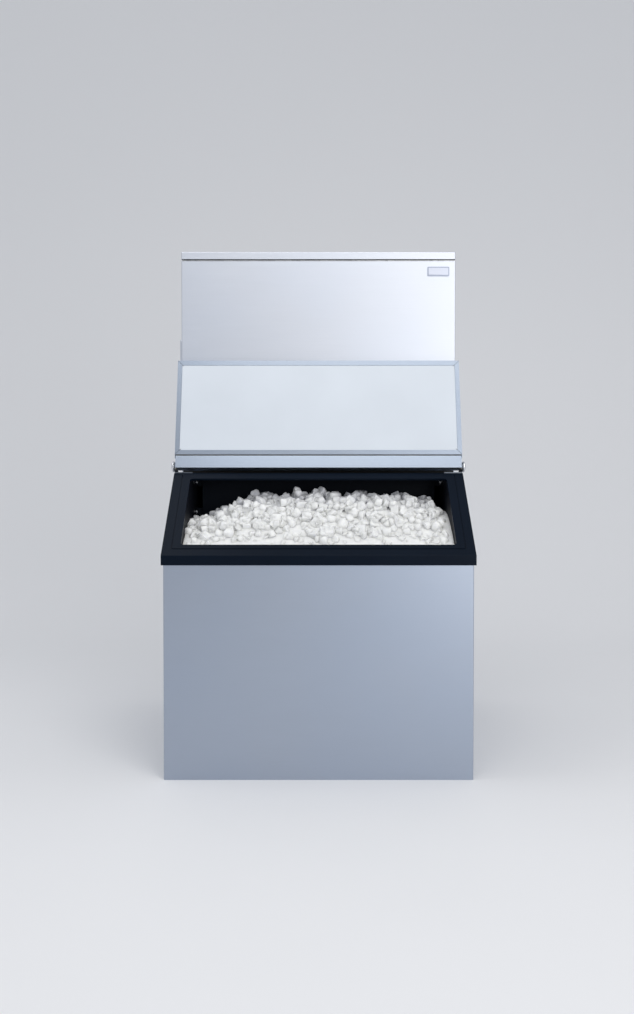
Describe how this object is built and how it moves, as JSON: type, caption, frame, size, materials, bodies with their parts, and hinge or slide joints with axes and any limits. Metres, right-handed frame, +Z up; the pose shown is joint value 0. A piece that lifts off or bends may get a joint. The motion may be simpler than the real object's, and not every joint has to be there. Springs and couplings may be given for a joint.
{
  "type": "modular ice machine with storage bin",
  "caption": "Cube ice machine head on a storage bin: stainless panels, sloping dark door frame, door swung open against the head, heap of ice inside.",
  "frame": {"origin": "on the floor, under the middle of the machine's whole outline", "axes": "+X the machine's right seen from the front, +Y its back, +Z up"},
  "size_m": [0.7874, 0.887, 1.377],
  "materials": {
    "stainless": "satin brushed",
    "galvanised": "dull zinc",
    "frame_blue": "moulded, slight sheen",
    "liner_dark": "moulded",
    "white_plastic": "smooth",
    "foam": "closed cell",
    "dark_plastic": "moulded",
    "nylon": "turned",
    "rubber": "moulded",
    "hose": "extruded",
    "tinned_copper": "bright tinned",
    "copper": "drawn tube",
    "coil_aluminium": "mill finish",
    "black_enamel": "gloss enamel",
    "bright_steel": "turned",
    "badge": "satin, bare",
    "ice": "frosted clear"
  },
  "bodies": {
    "bin": {"badge_plate": "badge", "base_pan": "galvanised", "bin_back_panel": "stainless", "bin_front_panel": "stainless", "bin_insulation": "foam", "bin_left_panel": "stainless", "bin_liner": "liner_dark", "bin_right_panel": "stainless", "bulkhead": "galvanised", "compressor": "black_enamel", "compressor_grommets": "rubber", "condenser_coil": "coil_aluminium", "control_box": "galvanised", "cord_entry": "dark_plastic", "curtain_pins": "bright_steel", "deflector_screws": "stainless", "door_frame": "frame_blue", "drain_fitting": "dark_plastic", "drain_strainer": "dark_plastic", "evaporator_bay": "white_plastic", "evaporator_coil": "copper", "evaporator_plate": "tinned_copper", "fan_motor": "black_enamel", "fan_shroud": "galvanised", "filter_drier": "copper", "float_valve": "white_plastic", "front_rail": "galvanised", "head_back_panel": "stainless", "head_base": "galvanised", "head_front_panel": "stainless", "head_gasket": "rubber", "head_left_panel": "stainless", "head_right_panel": "stainless", "hinge_pins": "stainless", "hinge_plates": "stainless", "ice_deflector": "liner_dark", "ice_heap": "ice", "inlet_valve": "white_plastic", "leg_sockets": "galvanised", "pump_housing": "dark_plastic", "refrigerant_lines": "copper", "side_grille": "stainless", "thickness_probe": "white_plastic", "toggle_switch": "dark_plastic", "top_cap": "stainless", "top_deck": "stainless", "water_distributor": "white_plastic", "water_hoses": "hose", "water_sump": "white_plastic"},
    "door": {"door_pan": "stainless", "door_rim": "stainless", "door_liner_panel": "white_plastic", "door_foam": "foam", "door_grip": "dark_plastic", "door_bushes": "nylon"},
    "curtain": {"water_curtain": "white_plastic"},
    "fan": {"fan_blades": "dark_plastic"},
    "pump_rotor": {"pump_impeller": "dark_plastic"},
    "toggle": {"toggle_lever": "bright_steel"},
    "float": {"float_arm": "white_plastic"}
  },
  "joints": [
    {"name": "door_hinge", "type": "hinge", "parent": "bin", "child": "door", "pos_m": [0, -0.2295, 0.777], "axis": [1, 0, 0], "range_deg": [0, 148.5]},
    {"name": "curtain_hinge", "type": "hinge", "parent": "bin", "child": "curtain", "pos_m": [0.144, 0.0165, 1.272], "axis": [1, 0, 0], "range_deg": [-20, 0]},
    {"name": "fan_spin", "type": "hinge", "parent": "bin", "child": "fan", "pos_m": [-0.3258, -0.0025, 0.959], "axis": [1, 0, 0], "continuous": true},
    {"name": "pump_spin", "type": "hinge", "parent": "bin", "child": "pump_rotor", "pos_m": [0.291, 0.0445, 0.859], "axis": [0, 0, 1], "continuous": true},
    {"name": "toggle_rock", "type": "hinge", "parent": "bin", "child": "toggle", "pos_m": [-0.122, -0.0995, 1.246], "axis": [1, 0, 0], "range_deg": [-24, 0]},
    {"name": "float_swing", "type": "hinge", "parent": "bin", "child": "float", "pos_m": [-0.02, 0.0715, 0.892], "axis": [1, 0, 0], "range_deg": [0, 15]}
  ]
}
